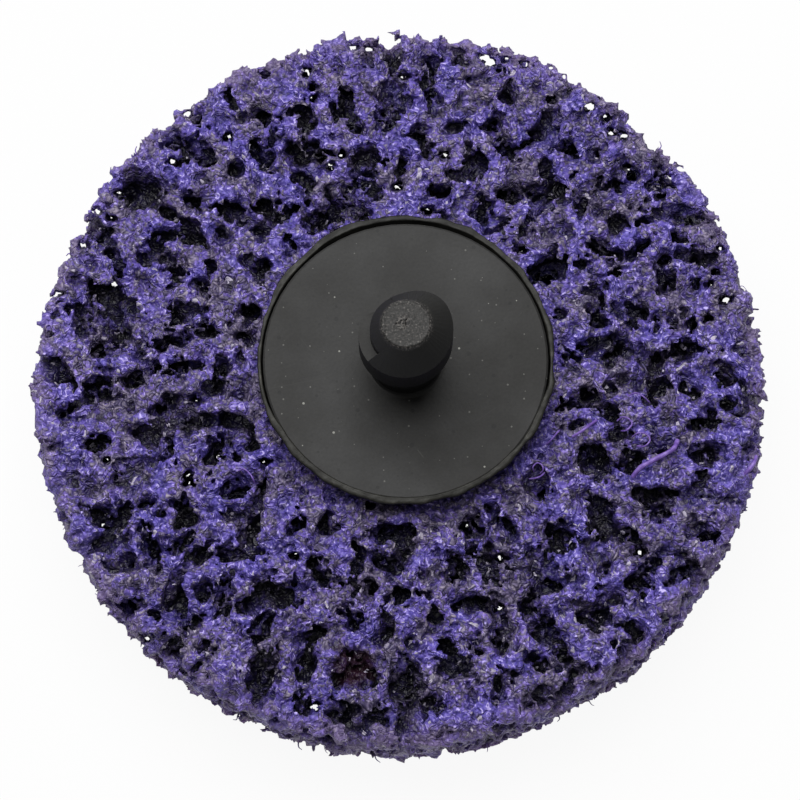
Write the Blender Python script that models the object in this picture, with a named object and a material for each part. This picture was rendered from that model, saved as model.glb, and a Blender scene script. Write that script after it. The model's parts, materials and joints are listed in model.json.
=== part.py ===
"""Quick-change surface conditioning disc: a coarse open abrasive web with a threaded plastic drive button.

The disc lies on its work face, with its back and the button's stud pointing up.
Origin: centre of the work face, on the surface it lies on. +Z up, metres.
"""
import math
import random

import bmesh
import bpy
from mathutils import Matrix, Vector, noise

MM = 0.001

# Sizes in millimetres

# Abrasive web
WEB_DIAMETER = 75.0
WEB_OVAL = 1.012            # its length along Y over its width along X, as it was cut
WEB_THICKNESS = 13.0
BACK_EDGE_RADIUS = 1.6
WORK_EDGE_RADIUS = 1.2
WALL_LEAN = 0.5             # how far the wall leans in towards the work face
SURFACE_RELIEF = 1.1        # lowest hollow of the back below its highest lump
WORK_FACE_RELIEF = 0.6
OUTLINE_WEAR = 0.7
LUMP_LENGTH = 6.5           # wavelength of the lumps
LUMP_CONTRAST = 0.75
SEAT_MARGIN = 0.8           # flat ground left round the adhesive

# Drive button: where it is bonded, its plate and its stud
BUTTON_OFFSET_X = 0.62      # it is glued a little off the web's centre
BUTTON_OFFSET_Y = 1.15
PLATE_DIAMETER = 29.1
PLATE_THICKNESS = 1.6
PLATE_EDGE_RADIUS = 0.25
STUD_HEIGHT = 13.2          # from the plate's face to the tip
STUD_ROOT_DIAMETER = 7.1
STUD_TIP_DIAMETER = 4.95
TIP_CHAMFER_LENGTH = 2.0
TIP_EDGE_BREAK = 0.1
ROOT_FILLET = 0.5

# The stud's thread: one wide ridge. Turns are in degrees, anticlockwise from +X, seen from the tip.
THREAD_DIAMETER = 9.4
THREAD_PITCH = 4.2
THREAD_LAND = 3.7           # height of the ridge at its crest
THREAD_FLANK_RISE = 0.3     # how much taller the ridge is at its root
THREAD_TOP_BELOW_TIP = 0.5  # where the helix of the ridge's upper edge starts
THREAD_TURNS = 0.96
THREAD_START_TURN = 115.0
THREAD_RISE_TURN = 90.0     # the ridge grows out of the tip's chamfer over this turn
THREAD_FADE_TURN = 30.0     # and dies away over this one
LEAD_CONE_END_TURN = 226.0  # the lead-in cone stops here with a blunt step
LEAD_CONE_STEP_TURN = 0.8
LEAD_CONE_STEP_SLANT = 16.0  # the step's crest end lies this turn further on than its root end
LEAD_CONE_BELOW_TIP = 0.12
RIDGE_SINK = 0.7            # how far the ridge is rooted in the stud
RIDGE_LEAST_PROUD = 0.05    # of the ridge's two ends

# Adhesive
BOND_FILM_THICKNESS = 0.4
LIP_WIDTH = 0.65
LIP_WIDTH_VARIATION = 0.3
LIP_ROUNDING = 0.3          # width of the lip's bevelled shoulder
LIP_SHOULDER_DROP = 0.8     # where the shoulder starts, below the lip's top
LIP_INNER_DROP = 0.05
LIP_PROUD = 0.1             # lip above the plate's face
LIP_HEIGHT_VARIATION = 0.25

FIT_GAP = 0.3               # between pieces that touch

# Pores
PORE_DEPTH = 3.0            # of the narrowest pore
PORE_DEPTH_PER_WIDTH = 0.9  # added for each mm of width beyond the narrowest
PORE_ROUGHNESS = 0.32       # of a pore's wall, as a share of its size
PORE_LUMP_RATE = 1.3
PORE_TILT = 14.0            # degrees, at most
PORE_LIFT = 0.23            # widest part of a pore above the surface
MOUTH_SPREAD = 1.12
THROUGH_PORE_WAIST = 1.95   # at mid height
THROUGH_PORE_REACH = 0.6    # half length, as a share of its way through
WORK_FACE_PORES = 27
WORK_FACE_PORE_LENGTH = 1.3  # as a share of its width
RIM_PORES = 22
RIM_PORE_LENGTH = 1.2
PORE_MIN_WIDTH = 1.3
PORE_MAX_WIDTH = 2.7
PORE_SPACING = 2.0          # wall left between the mouths of scattered pores
RIM_PORE_LOWEST = 0.25      # as shares of the web's thickness
RIM_PORE_HIGHEST = 0.75

# Facets
SEGMENTS = 64
WORK_FACE_RINGS = 6
BACK_RINGS = 5
WALL_RINGS = 3
THREAD_STEPS = 60
PORE_SIDES = 7
PORE_RINGS = 4
SHARP_ANGLE = 31.0
SEED = 7

# The largest pits of the back, placed by eye: x, y, length and width of the mouth, and the turn of its
# long side in degrees.
BACK_PORES = (
    (-17.0, 22.5, 2.4, 2.0, 20), (-24.0, 18.0, 3.4, 1.5, -25), (-27.5, 19.0, 2.2, 1.3, 0),
    (-24.5, 15.5, 2.8, 1.7, 15), (-18.5, 15.5, 2.1, 1.8, 0), (-19.5, 12.2, 2.6, 1.4, 90),
    (-14.5, 16.0, 2.9, 1.6, 10), (-14.0, 11.8, 2.1, 1.9, 0), (-29.0, 12.5, 4.0, 1.5, -69),
    (-10.0, 21.5, 3.8, 2.1, -60), (-4.5, 27.0, 2.3, 1.8, 20), (-3.5, 21.8, 3.0, 2.4, 0),
    (0.2, 22.6, 4.4, 1.6, 80), (-1.0, 28.0, 2.8, 1.9, 80), (1.8, 26.5, 2.1, 1.6, 70),
    (5.8, 27.5, 3.4, 1.6, 15), (9.8, 27.5, 2.4, 1.5, 0), (4.2, 20.2, 2.8, 1.9, 10),
    (11.2, 20.0, 3.2, 2.2, -50), (11.6, 31.0, 4.2, 1.5, 85), (17.6, 25.0, 2.2, 1.9, 0),
    (15.6, 22.4, 2.3, 1.6, 80), (19.0, 18.5, 3.3, 1.6, 88), (22.6, 17.0, 2.0, 1.8, 0),
    (20.2, 14.2, 2.1, 1.9, 0), (24.4, 14.0, 2.3, 2.0, 40), (28.6, 15.4, 4.0, 1.5, -22),
    (27.2, 10.8, 3.0, 2.1, -60), (24.5, 7.4, 2.6, 1.9, 80), (22.0, 3.0, 3.6, 2.8, 30),
    (26.2, 1.8, 2.1, 1.9, 0), (29.8, 6.0, 1.8, 1.5, 90), (29.6, -0.6, 4.0, 1.5, -55),
    (33.6, -2.3, 2.6, 1.9, -50), (22.0, -3.8, 3.7, 1.7, -72), (19.8, -8.4, 3.8, 2.9, -30),
    (30.6, -8.1, 2.6, 1.5, 0), (20.5, -12.4, 3.6, 1.6, -12), (25.0, -12.6, 3.2, 1.5, -65),
    (-32.4, 6.5, 4.0, 1.5, 86), (-28.8, 5.6, 6.4, 2.0, 88), (-27.0, -0.2, 2.5, 2.1, 20),
    (-23.4, -1.9, 1.9, 1.7, 0), (-18.4, 1.6, 2.6, 1.7, 80), (-19.6, -4.4, 3.2, 1.5, 15),
    (-25.6, -5.7, 2.7, 2.0, 40), (-31.0, -6.7, 3.4, 2.3, 20), (-17.0, -7.3, 2.8, 1.5, -70),
    (-25.2, -13.0, 3.3, 1.6, -30), (-15.0, -15.5, 3.4, 2.0, 85), (-27.4, -19.1, 3.2, 1.5, -78),
    (-22.0, -17.0, 3.5, 1.7, 45), (-19.4, -22.2, 2.6, 2.1, 30), (-14.0, -25.6, 4.6, 3.2, 80),
    (-24.6, -24.6, 2.5, 1.6, -50), (-8.2, -19.3, 3.2, 2.0, -60), (0.4, -17.4, 3.4, 1.9, 85),
    (-1.4, -25.8, 4.2, 1.6, 82), (-9.6, -30.0, 3.0, 1.9, 75), (4.6, -27.3, 2.6, 2.2, -60),
    (9.6, -19.6, 4.8, 1.6, -80), (10.6, -26.7, 4.4, 1.6, 88), (15.6, -21.4, 2.6, 1.8, -50),
    (20.0, -23.9, 4.0, 2.5, 35), (25.4, -19.7, 3.8, 1.5, 45),
)

# Pores that go right through: x and y on the back, and how far the channel drifts on its way down.
THROUGH_PORES = (
    (-22.6, 23.6, 1.0, -0.6), (-7.2, 24.6, -0.8, 0.6), (23.8, 22.2, 0.8, 0.8), (15.2, 12.0, 0.6, -0.8),
    (-21.2, -10.7, 0.7, 0.9), (31.4, -16.4, -0.7, 0.4),
)

WEB_TOP = WEB_THICKNESS
FILM_BOTTOM = WEB_TOP + FIT_GAP
FILM_TOP = FILM_BOTTOM + BOND_FILM_THICKNESS
PLATE_BOTTOM = FILM_TOP + FIT_GAP
PLATE_TOP = PLATE_BOTTOM + PLATE_THICKNESS
STUD_TIP = PLATE_TOP + STUD_HEIGHT
PLATE_RADIUS = PLATE_DIAMETER / 2
LIP_INNER_RADIUS = PLATE_RADIUS + FIT_GAP
LIP_OUTER_RADIUS = LIP_INNER_RADIUS + LIP_WIDTH
SEAT_RADIUS = LIP_OUTER_RADIUS + LIP_WIDTH_VARIATION + SEAT_MARGIN
BUTTON_CENTRE = Vector((BUTTON_OFFSET_X, BUTTON_OFFSET_Y, 0.0))


def clear_scene():
    """Start from an empty scene."""
    for item in list(bpy.data.objects):
        bpy.data.objects.remove(item, do_unlink=True)


def make_material(name, colour, roughness):
    """A Principled material."""
    material = bpy.data.materials.new(name)
    material.use_nodes = True
    shader = material.node_tree.nodes["Principled BSDF"]
    shader.inputs["Base Color"].default_value = (*colour, 1.0)
    shader.inputs["Roughness"].default_value = roughness
    shader.inputs["Metallic"].default_value = 0.0
    material.diffuse_color = (*colour, 1.0)
    return material


def finish_object(name, shape, material, smooth=True):
    """Turn a mesh drawn in millimetres into a named object in metres."""
    bmesh.ops.scale(shape, vec=(MM, MM, MM), verts=shape.verts)
    bmesh.ops.recalc_face_normals(shape, faces=shape.faces)
    mesh = bpy.data.meshes.new(name)
    shape.to_mesh(mesh)
    shape.free()
    if smooth:
        shade(mesh)
    mesh.materials.append(material)
    thing = bpy.data.objects.new(name, mesh)
    bpy.context.collection.objects.link(thing)
    return thing


def shade(mesh):
    """Smooth curves and crisp edges."""
    mesh.shade_smooth()
    mesh.set_sharp_from_angle(angle=math.radians(SHARP_ANGLE))


def apply_modifiers(thing):
    """Replace an object's mesh by its evaluated one."""
    depsgraph = bpy.context.evaluated_depsgraph_get()
    mesh = bpy.data.meshes.new_from_object(thing.evaluated_get(depsgraph))
    thing.modifiers.clear()
    old = thing.data
    thing.data = mesh
    bpy.data.meshes.remove(old)


def combine(target, tool, operation, tool_crosses_itself=False):
    """Cut or join with an exact Boolean, then delete the tool."""
    step = target.modifiers.new(operation.lower(), "BOOLEAN")
    step.operation = operation
    step.solver = "EXACT"
    step.use_self = tool_crosses_itself
    step.object = tool
    tool.hide_render = True
    tool.display_type = "WIRE"
    apply_modifiers(target)
    bpy.data.objects.remove(tool, do_unlink=True)


def turn_profile(profile):
    """Spin a half outline of (radius, height) points round the Z axis into a closed skin."""
    shape = bmesh.new()
    points = [shape.verts.new((radius, 0.0, height)) for radius, height in profile]
    edges = [shape.edges.new(pair) for pair in zip(points, points[1:])]
    bmesh.ops.spin(shape, geom=points + edges, cent=(0, 0, 0), axis=(0, 0, 1), dvec=(0, 0, 0),
                   angle=math.tau, steps=SEGMENTS)
    bmesh.ops.remove_doubles(shape, verts=shape.verts, dist=0.0005)
    return shape


def arc(centre_radius, centre_height, size, first, last, steps):
    """Points of a rounded corner in the half outline, angles in degrees."""
    points = []
    for step in range(steps + 1):
        angle = math.radians(first + (last - first) * step / steps)
        points.append((centre_radius + size * math.cos(angle), centre_height + size * math.sin(angle)))
    return points


def spaced(first, last, count):
    """Values that divide a length evenly, without its two ends."""
    return [first + (last - first) * step / count for step in range(1, count)]


def ease(value):
    """Smooth step from 0 to 1."""
    value = min(max(value, 0.0), 1.0)
    return value * value * (3 - 2 * value)


def lumps(point, layer):
    """Soft irregular relief between 0 and 1; each layer is a different one."""
    place = Vector(point) / LUMP_LENGTH + Vector((layer, layer, -layer))
    return min(max(0.5 + LUMP_CONTRAST * noise.noise(place), 0.0), 1.0)


def web_blank():
    """The web before its pores: a slightly oval disc with worn edges, a leaning wall and lumpy faces."""
    radius = WEB_DIAMETER / 2
    work_radius = radius - WALL_LEAN
    back = WEB_THICKNESS
    profile = [(0.0, 0.0)]
    profile += [(value, 0.0) for value in spaced(0.0, work_radius - WORK_EDGE_RADIUS, WORK_FACE_RINGS)]
    profile += arc(work_radius - WORK_EDGE_RADIUS, WORK_EDGE_RADIUS, WORK_EDGE_RADIUS, -90, 0, 2)
    for share in spaced(0.0, 1.0, WALL_RINGS):
        height = WORK_EDGE_RADIUS + (back - BACK_EDGE_RADIUS - WORK_EDGE_RADIUS) * share
        profile.append((work_radius + WALL_LEAN * share, height))
    profile += arc(radius - BACK_EDGE_RADIUS, back - BACK_EDGE_RADIUS, BACK_EDGE_RADIUS, 0, 90, 2)
    profile += [(value, back) for value in spaced(radius - BACK_EDGE_RADIUS, SEAT_RADIUS, BACK_RINGS)]
    profile += [(SEAT_RADIUS, back), (0.0, back)]
    shape = turn_profile(profile)
    for vert in shape.verts:
        wear_vertex(vert, work_radius)
        vert.co.y *= WEB_OVAL
    return shape


def wear_vertex(vert, work_radius):
    """Sink one point of the blank by the relief of its face; the seat and the resting face stay flat."""
    across = math.hypot(vert.co.x, vert.co.y)
    turn = math.atan2(vert.co.y, vert.co.x)
    from_button = math.hypot(vert.co.x - BUTTON_CENTRE.x, vert.co.y - BUTTON_CENTRE.y)
    if vert.co.z > WEB_THICKNESS / 2:
        height_share = ease((vert.co.z - WEB_THICKNESS + BACK_EDGE_RADIUS) / BACK_EDGE_RADIUS)
        seat_share = ease((from_button - SEAT_RADIUS) / LUMP_LENGTH)
        vert.co.z -= SURFACE_RELIEF * lumps(vert.co, 3.1) * height_share * seat_share
    elif vert.co.z < WORK_EDGE_RADIUS / 2:
        vert.co.z += WORK_FACE_RELIEF * max(lumps(vert.co, 8.3) - 0.5, 0.0) * 2
    if across > work_radius - WORK_EDGE_RADIUS / 2:
        corner = abs(math.sin(2 * turn))
        worn = OUTLINE_WEAR * lumps(vert.co, 5.7) * corner
        vert.co.x -= worn * math.cos(turn)
        vert.co.y -= worn * math.sin(turn)


def add_blob(shape, centre, half_sizes, turn, tilt, direction, draw):
    """One rough ellipsoid of a pore, its third half size along direction."""
    blob = bmesh.ops.create_uvsphere(shape, u_segments=PORE_SIDES, v_segments=PORE_RINGS, radius=1.0)
    verts = blob["verts"]
    own_lumps = Vector((draw.random(), draw.random(), draw.random())) * 50
    for vert in verts:
        vert.co *= 1 + PORE_ROUGHNESS * noise.noise(vert.co * PORE_LUMP_RATE + own_lumps)
    tilt_axis = Vector((math.cos(draw.random() * math.tau), math.sin(draw.random() * math.tau), 0.2))
    place = (Matrix.Translation(centre) @ direction.to_track_quat("Z", "X").to_matrix().to_4x4()
             @ Matrix.Rotation(math.radians(tilt), 4, tilt_axis) @ Matrix.Rotation(math.radians(turn), 4, "Z")
             @ Matrix.Diagonal((*half_sizes, 1.0)))
    bmesh.ops.transform(shape, matrix=place, verts=verts)


def pore_depth(width):
    """Narrow pores are shallower than wide ones."""
    return PORE_DEPTH + PORE_DEPTH_PER_WIDTH * (width - PORE_MIN_WIDTH)


def scatter(count, draw, pick, distance):
    """Draw pores with pick() until count of them keep clear of each other."""
    kept = []
    while len(kept) < count:
        pore = pick(draw)
        if all(distance(pore, other) > (pore["width"] + other["width"]) / 2 + PORE_SPACING for other in kept):
            kept.append(pore)
    return kept


def add_back_pores(shape, draw):
    """The pits placed by eye on the back."""
    for x, y, length, width, turn in BACK_PORES:
        half = (length / 2 * MOUTH_SPREAD, width / 2 * MOUTH_SPREAD, pore_depth(width))
        tilt = draw.uniform(-PORE_TILT, PORE_TILT)
        add_blob(shape, Vector((x, y, WEB_TOP + PORE_LIFT)), half, turn, tilt, Vector((0, 0, 1)), draw)


def add_through_pores(shape, draw):
    """Channels that daylight shows through."""
    for x, y, drift_x, drift_y in THROUGH_PORES:
        run = Vector((-drift_x, -drift_y, WEB_THICKNESS))
        half = (THROUGH_PORE_WAIST / 2, THROUGH_PORE_WAIST / 2, run.length * THROUGH_PORE_REACH)
        add_blob(shape, Vector((x, y, WEB_TOP)) - run / 2, half, 0.0, 0.0, run.normalized(), draw)


def add_work_face_pores(shape, draw):
    """Pores scattered over the work face."""
    reach = WEB_DIAMETER / 2 - PORE_MAX_WIDTH - WORK_EDGE_RADIUS

    def pick(source):
        across = reach * math.sqrt(source.random())
        around = source.random() * math.tau
        width = source.uniform(PORE_MIN_WIDTH, PORE_MAX_WIDTH)
        return {"x": across * math.cos(around), "y": across * math.sin(around), "width": width}

    def distance(one, other):
        return math.hypot(one["x"] - other["x"], one["y"] - other["y"])

    for pore in scatter(WORK_FACE_PORES, draw, pick, distance):
        half = (pore["width"] / 2 * WORK_FACE_PORE_LENGTH, pore["width"] / 2, pore_depth(pore["width"]))
        add_blob(shape, Vector((pore["x"], pore["y"], -PORE_LIFT)), half, draw.uniform(0, 180),
                 draw.uniform(-PORE_TILT, PORE_TILT), Vector((0, 0, -1)), draw)


def add_rim_pores(shape, draw):
    """Pores cut open round the wall."""
    radius = WEB_DIAMETER / 2 - WALL_LEAN / 2

    def pick(source):
        height = WEB_THICKNESS * source.uniform(RIM_PORE_LOWEST, RIM_PORE_HIGHEST)
        width = source.uniform(PORE_MIN_WIDTH, PORE_MAX_WIDTH)
        return {"around": source.random() * math.tau, "height": height, "width": width}

    def distance(one, other):
        swing = (one["around"] - other["around"] + math.pi) % math.tau - math.pi
        return math.hypot(radius * swing, one["height"] - other["height"])

    for pore in scatter(RIM_PORES, draw, pick, distance):
        outward = Vector((math.cos(pore["around"]), math.sin(pore["around"]), 0.0))
        centre = outward * (radius + PORE_LIFT) + Vector((0, 0, pore["height"]))
        half = (pore["width"] / 2 * RIM_PORE_LENGTH, pore["width"] / 2, pore_depth(pore["width"]))
        add_blob(shape, centre, half, draw.uniform(0, 180), 0.0, outward, draw)


def keep_largest_body(thing):
    """Drop crumbs that the pores have cut free."""
    shape = bmesh.new()
    shape.from_mesh(thing.data)
    left = set(shape.verts)
    bodies = []
    while left:
        start = left.pop()
        body = [start]
        queue = [start]
        while queue:
            for edge in queue.pop().link_edges:
                for vert in edge.verts:
                    if vert in left:
                        left.remove(vert)
                        body.append(vert)
                        queue.append(vert)
        bodies.append(body)
    bodies.sort(key=len)
    for body in bodies[:-1]:
        bmesh.ops.delete(shape, geom=body, context="VERTS")
    bmesh.ops.dissolve_degenerate(shape, dist=2e-6, edges=shape.edges)
    bmesh.ops.triangulate(shape, faces=shape.faces)
    shape.to_mesh(thing.data)
    shape.free()


def build_web():
    """Blank minus pores."""
    draw = random.Random(SEED)
    purple = make_material("purple_web", (0.13, 0.10, 0.32), 0.8)
    web = finish_object("abrasive_web", web_blank(), purple, smooth=False)
    pores = bmesh.new()
    add_back_pores(pores, draw)
    add_through_pores(pores, draw)
    add_work_face_pores(pores, draw)
    add_rim_pores(pores, draw)
    cutter = finish_object("pore_cutter", pores, purple, smooth=False)
    combine(web, cutter, "DIFFERENCE", tool_crosses_itself=True)
    keep_largest_body(web)
    shade(web.data)


def button_blank():
    """Plate and plain stud, turned as one."""
    edge = PLATE_EDGE_RADIUS
    root = STUD_ROOT_DIAMETER / 2
    tip = STUD_TIP_DIAMETER / 2
    profile = [(0.0, PLATE_BOTTOM)]
    profile += arc(PLATE_RADIUS - edge, PLATE_BOTTOM + edge, edge, -90, 0, 1)
    profile += arc(PLATE_RADIUS - edge, PLATE_TOP - edge, edge, 0, 90, 2)
    profile += arc(root + ROOT_FILLET, PLATE_TOP + ROOT_FILLET, ROOT_FILLET, 270, 180, 3)
    profile += [(root, STUD_TIP - TIP_CHAMFER_LENGTH), (tip, STUD_TIP - TIP_EDGE_BREAK),
                (tip - TIP_EDGE_BREAK, STUD_TIP), (0.0, STUD_TIP)]
    return turn_profile(profile)


def ridge_section(angle, run, cone_end):
    """Cross section of the thread's ridge after this turn from its start, as (radius, turn, height)."""
    crest = THREAD_DIAMETER / 2
    root = STUD_ROOT_DIAMETER / 2
    inner = root - RIDGE_SINK
    least = root + RIDGE_LEAST_PROUD
    rise = ease(angle / THREAD_RISE_TURN)
    outer = least + (crest - least) * rise * ease((run - angle) / THREAD_FADE_TURN)
    chamfer_depth = TIP_CHAMFER_LENGTH - 2 * RIDGE_LEAST_PROUD
    below_tip = THREAD_TOP_BELOW_TIP + (chamfer_depth - THREAD_TOP_BELOW_TIP) * (1 - rise)
    upper = STUD_TIP - below_tip - THREAD_PITCH * angle / 360
    lower = upper - THREAD_LAND

    slant = LEAD_CONE_STEP_SLANT / 2 * ease(1 - abs(angle - cone_end) / THREAD_FADE_TURN)
    slant_drop = THREAD_PITCH * slant / 360
    shoulder = (inner, angle - slant, upper + THREAD_FLANK_RISE + slant_drop)
    if angle <= cone_end:
        tip_edge = (STUD_TIP_DIAMETER - TIP_EDGE_BREAK) / 2
        shoulder = (tip_edge, angle - slant, STUD_TIP - LEAD_CONE_BELOW_TIP)
    return ((inner, angle - slant, lower - THREAD_FLANK_RISE + slant_drop),
            (outer, angle + slant, lower - slant_drop), (outer, angle + slant, upper - slant_drop), shoulder)


def thread_ridge():
    """The coarse thread: a wide ridge that runs clockwise down the stud, seen from its tip.

    Its first stretch carries a conical lead-in, which ends in a blunt step.
    """
    run = THREAD_TURNS * 360
    cone_end = (THREAD_START_TURN - LEAD_CONE_END_TURN) % 360
    angles = [run * step / THREAD_STEPS for step in range(THREAD_STEPS + 1)]
    angles = sorted(angles + [cone_end, cone_end + LEAD_CONE_STEP_TURN])
    shape = bmesh.new()
    rings = []
    for angle in angles:
        ring = []
        for radius, turn_down, height in ridge_section(angle, run, cone_end):
            turn = math.radians(THREAD_START_TURN - turn_down)
            ring.append(shape.verts.new((radius * math.cos(turn), radius * math.sin(turn), height)))
        rings.append(ring)
    for first, second in zip(rings, rings[1:]):
        for corner in range(len(first)):
            after = (corner + 1) % len(first)
            shape.faces.new((first[corner], first[after], second[after], second[corner]))
    shape.faces.new(rings[0])
    shape.faces.new(rings[-1])
    return shape


def build_button():
    """Plate, stud and thread as one moulding."""
    black = make_material("black_nylon", (0.055, 0.055, 0.055), 0.45)
    button = finish_object("drive_button", button_blank(), black)
    ridge = finish_object("ridge_tool", thread_ridge(), black)
    combine(button, ridge, "UNION")
    button.location = BUTTON_CENTRE * MM
    shade(button.data)


def build_bond():
    """Adhesive film under the plate, with the uneven lip that was squeezed out round it."""
    lip_top = PLATE_TOP + LIP_PROUD
    profile = [(0.0, FILM_BOTTOM), (LIP_OUTER_RADIUS, FILM_BOTTOM),
               (LIP_OUTER_RADIUS, lip_top - LIP_SHOULDER_DROP),
               (LIP_OUTER_RADIUS - LIP_ROUNDING, lip_top), (LIP_INNER_RADIUS, lip_top - LIP_INNER_DROP),
               (LIP_INNER_RADIUS, FILM_TOP), (0.0, FILM_TOP)]
    shape = turn_profile(profile)
    for vert in shape.verts:
        across = math.hypot(vert.co.x, vert.co.y)
        if across < LIP_INNER_RADIUS - FIT_GAP:
            continue
        turn = math.atan2(vert.co.y, vert.co.x)
        around = Vector((math.cos(turn), math.sin(turn), 0.0))
        if across > LIP_INNER_RADIUS + FIT_GAP:
            swell = min(max(1.6 * noise.noise(around * 3.4), -1.0), 1.0)
            vert.co += around * LIP_WIDTH_VARIATION * swell
        if vert.co.z > FILM_TOP + FIT_GAP:
            vert.co.z -= LIP_HEIGHT_VARIATION * (0.5 + 0.9 * noise.noise(around * 5.0))
    adhesive = make_material("black_adhesive", (0.035, 0.035, 0.033), 0.5)
    bond = finish_object("adhesive_bond", shape, adhesive)
    bond.location = BUTTON_CENTRE * MM


clear_scene()
build_web()
build_button()
build_bond()
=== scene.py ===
"""Looks of the quick-change surface conditioning disc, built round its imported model.

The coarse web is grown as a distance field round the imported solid: lumps, grain, pores and strands are
added to it, and its skin is meshed from the field. The button and its adhesive get their finish here.
Field sizes are in millimetres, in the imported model's frame; meshes are written in metres.
"""
import json
import math
import random

import bpy
import numpy as np
import openvdb
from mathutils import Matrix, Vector, noise


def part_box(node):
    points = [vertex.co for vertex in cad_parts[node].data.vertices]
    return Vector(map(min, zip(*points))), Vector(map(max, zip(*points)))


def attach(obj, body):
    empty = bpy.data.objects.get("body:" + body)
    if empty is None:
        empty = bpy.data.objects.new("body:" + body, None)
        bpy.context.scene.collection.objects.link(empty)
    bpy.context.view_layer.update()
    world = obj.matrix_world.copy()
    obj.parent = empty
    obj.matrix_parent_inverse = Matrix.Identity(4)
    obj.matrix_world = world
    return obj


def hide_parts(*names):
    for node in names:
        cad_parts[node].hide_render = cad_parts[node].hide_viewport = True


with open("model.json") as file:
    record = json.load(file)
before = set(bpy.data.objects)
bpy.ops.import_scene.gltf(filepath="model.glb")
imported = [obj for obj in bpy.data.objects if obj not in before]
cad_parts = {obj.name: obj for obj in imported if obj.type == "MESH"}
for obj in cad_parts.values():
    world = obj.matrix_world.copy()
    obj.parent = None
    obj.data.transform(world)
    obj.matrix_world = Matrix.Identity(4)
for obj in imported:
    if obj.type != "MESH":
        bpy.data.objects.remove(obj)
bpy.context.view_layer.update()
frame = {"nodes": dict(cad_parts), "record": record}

MM = 0.001

# Camera, as the photograph was taken
PHOTO_PIXELS = 800
SENSOR_WIDTH = 36.0
CAMERA_LENS = 170.7
CAMERA_ELEVATION = 75.0
CAMERA_DISTANCE = 400.0
CAMERA_TARGET = (0.05, 1.13, 0.0)

# Web field: voxel, room round it, and the layer under each face that the pores fade out in
VOXEL = 0.25
FIELD_MARGIN = 1.0
BAND_VOXELS = 5.0
CORE_DEPTH_FROM = 2.8
CORE_DEPTH_TO = 4.0
RADIAL_HEADINGS = 4
TOP_REACH = 6
TOP_BLUR = 5

# Web mesh
SECTORS = 6
WEB_TRIANGLES = 955000

# Further pits of the back, placed between the imported ones: x, y, length, width and turn in degrees
PITS = (
    (-14.0, 28.5, 1.8, 1.6, 0), (-21.5, 19.0, 1.4, 1.3, 60), (-9.0, 25.0, 2.6, 1.3, -75),
    (-6.5, 28.5, 1.6, 1.2, 50), (-2.5, 20.0, 1.4, 1.4, 0), (-5.5, 20.0, 1.7, 1.2, 90),
    (3.0, 24.5, 2.1, 1.0, 75), (11.0, 25.0, 2.6, 1.3, -60), (9.0, 18.0, 1.6, 1.4, 0),
    (-8.0, 17.0, 3.2, 2.0, 20), (14.5, 20.0, 3.0, 1.0, -15), (22.5, 20.5, 1.5, 1.3, 30),
    (22.0, 13.5, 2.1, 1.1, 0), (30.5, 17.0, 2.0, 1.1, 0), (15.0, 11.5, 3.1, 2.1, 20),
    (20.5, 6.5, 1.9, 1.5, -60), (29.0, 3.0, 2.2, 1.7, 10), (19.5, -1.9, 1.6, 1.4, 0),
    (25.5, -2.4, 1.4, 1.0, -70), (31.0, -4.8, 2.2, 1.4, 0), (23.5, -8.6, 2.3, 1.7, 70),
    (26.5, -13.8, 1.7, 1.4, 0), (-30.5, -0.5, 1.9, 1.6, 0), (-23.0, 1.5, 1.6, 1.2, 0),
    (-19.0, -1.0, 1.5, 1.4, 0), (-20.0, 5.0, 2.0, 1.2, -45), (-15.5, 7.0, 1.5, 1.4, 0),
    (-23.5, 4.0, 3.3, 1.1, 15), (-23.5, -7.2, 2.2, 1.0, 80), (-19.0, -7.2, 2.4, 1.2, 60),
    (-22.0, -13.8, 2.1, 1.4, 90), (-17.0, -11.9, 1.9, 1.4, 0), (-30.0, -14.3, 2.2, 1.6, 0),
    (-25.5, -17.7, 4.4, 1.2, -75), (-13.5, -21.5, 1.9, 1.8, 0), (-17.5, -22.4, 3.8, 1.4, 75),
    (-27.0, -23.9, 2.1, 1.2, 0), (-23.0, -27.7, 2.0, 1.8, 0), (-13.5, -31.5, 3.4, 2.0, 75),
    (-7.5, -20.5, 2.6, 1.3, -30), (-1.5, -16.2, 3.0, 1.2, 10), (-3.0, -22.0, 1.5, 1.4, 0),
    (-1.5, -19.6, 2.6, 1.6, -30), (-4.5, -24.8, 2.4, 1.3, -50), (6.0, -20.0, 2.0, 1.6, 40),
    (6.5, -23.4, 1.6, 1.3, 90), (7.5, -15.8, 1.9, 1.6, 0), (5.5, -30.1, 2.4, 2.0, 0),
    (0.5, -31.5, 4.2, 2.4, 80), (3.0, -34.4, 2.0, 1.2, 0), (-5.5, -34.4, 2.4, 2.0, 0),
    (13.0, -23.4, 2.3, 1.5, 85), (20.5, -15.8, 2.6, 1.1, -15), (16.5, -16.7, 2.6, 1.4, 70),
    (24.0, -17.2, 2.6, 1.1, -60), (24.5, -20.5, 4.0, 1.2, 45), (28.5, -20.0, 2.8, 1.2, 35),
    (15.5, -26.3, 3.2, 1.4, -60), (16.5, -29.1, 2.2, 1.6, -70),
)
PIT_DEPTH = 3.8

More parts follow.
